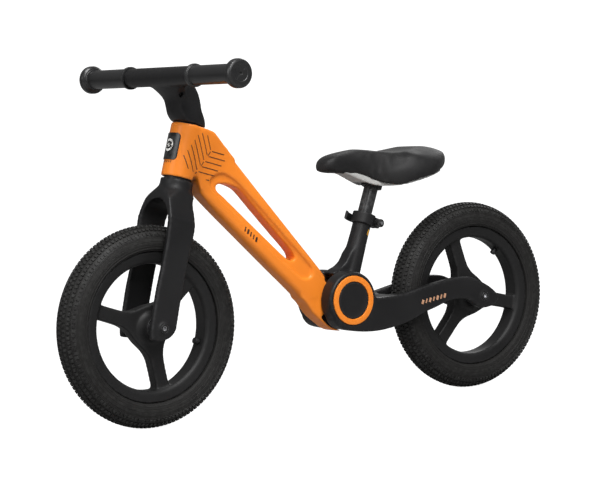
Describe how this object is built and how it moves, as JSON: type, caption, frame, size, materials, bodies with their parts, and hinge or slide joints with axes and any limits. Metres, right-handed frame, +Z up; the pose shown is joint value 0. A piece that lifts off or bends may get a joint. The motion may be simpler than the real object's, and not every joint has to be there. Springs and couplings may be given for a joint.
{
  "type": "balance bike",
  "caption": "Folding child's balance bike with spoked moulded wheels, slotted beam frame, padded saddle, quick-release seat height and push-button fold hub.",
  "frame": {"origin": "on the ground, midway between the two axles", "axes": "+X forward, +Y towards the rider's left, +Z up"},
  "size_m": [0.902, 0.408, 0.5317],
  "materials": {
    "badge_plastic": "gloss",
    "base_plastic": "satin",
    "black_aluminium": "satin",
    "black_moulding": "satin",
    "bright_steel": "polished",
    "bush_plastic": "matte",
    "grip_rubber": "satin",
    "orange_moulding": "satin",
    "saddle_cover": "satin",
    "silver_aluminium": "satin",
    "steel": "satin",
    "tube_rubber": "matte",
    "tyre": "matte"
  },
  "bodies": {
    "rear_frame": {"rear_frame": "black_moulding", "seat_tube_shim": "bush_plastic", "seat_clamp_collar": "black_aluminium", "seat_clamp_skewer": "steel", "seat_clamp_nut": "bright_steel", "fold_pivot_tube": "steel", "hub_ring_left": "orange_moulding", "hub_ring_right": "orange_moulding", "lock_spring_left": "steel", "lock_spring_right": "steel", "rear_axle": "silver_aluminium", "rear_axle_spacers": "black_moulding", "rear_axle_bolts": "bright_steel"},
    "front_frame": {"front_frame": "orange_moulding", "pivot_bush": "bush_plastic", "headset_bearing_upper": "steel", "headset_bearing_lower": "steel", "head_badge": "badge_plastic"},
    "steering": {"fork": "black_moulding", "crown_race": "steel", "stem": "black_moulding", "stem_bolt": "steel", "handlebar_tube": "black_aluminium", "grip_left": "grip_rubber", "grip_right": "grip_rubber", "front_axle": "silver_aluminium", "front_axle_spacers": "black_moulding", "front_axle_bolts": "bright_steel"},
    "front_wheel": {"front_rim": "black_moulding", "front_tyre": "tyre", "front_inner_tube": "tube_rubber", "front_valve": "black_moulding", "front_wheel_bearings": "steel"},
    "rear_wheel": {"rear_rim": "black_moulding", "rear_tyre": "tyre", "rear_inner_tube": "tube_rubber", "rear_valve": "black_moulding", "rear_wheel_bearings": "steel"},
    "seat": {"seat_post": "black_aluminium", "saddle_bracket": "black_moulding", "saddle_base": "base_plastic", "saddle_pad": "saddle_cover", "saddle_screws": "bright_steel"},
    "clamp_lever": {"clamp_lever": "black_aluminium"},
    "fold_button_left": {"fold_button_left": "black_moulding", "lock_plate_left": "steel"},
    "fold_button_right": {"fold_button_right": "black_moulding", "lock_plate_right": "steel"}
  },
  "joints": [
    {"name": "frame_fold", "type": "hinge", "parent": "rear_frame", "child": "front_frame", "pos_m": [-0.0417, 0, 0.162], "axis": [0, 1, 0], "range_deg": [0, 112]},
    {"name": "steering", "type": "hinge", "parent": "front_frame", "child": "steering", "pos_m": [0.3025, 0, 0.1485], "axis": [-0.279, 0, 0.9603], "range_deg": [-42, 42]},
    {"name": "front_wheel_spin", "type": "hinge", "parent": "steering", "child": "front_wheel", "pos_m": [0.3025, 0, 0.1485], "axis": [0, 1, 0], "continuous": true},
    {"name": "rear_wheel_spin", "type": "hinge", "parent": "rear_frame", "child": "rear_wheel", "pos_m": [-0.3025, 0, 0.1485], "axis": [0, 1, 0], "continuous": true},
    {"name": "seat_height", "type": "slide", "parent": "rear_frame", "child": "seat", "axis": [-0.3453, 0, 0.9385], "range_m": [-0.022, 0.036]},
    {"name": "clamp_lever", "type": "hinge", "parent": "rear_frame", "child": "clamp_lever", "pos_m": [-0.11948, -0.019, 0.27462], "axis": [0.3453, 0, -0.9385], "range_deg": [0, 105]},
    {"name": "fold_button_left", "type": "slide", "parent": "rear_frame", "child": "fold_button_left", "axis": [0, -1, 0], "range_m": [0, 0.004], "stiffness_N_per_m": 1200, "springref_m": -0.003, "deforming": ["lock_spring_left"]},
    {"name": "fold_button_right", "type": "slide", "parent": "rear_frame", "child": "fold_button_right", "axis": [0, 1, 0], "range_m": [0, 0.004], "stiffness_N_per_m": 1200, "springref_m": -0.003, "deforming": ["lock_spring_right"]}
  ]
}
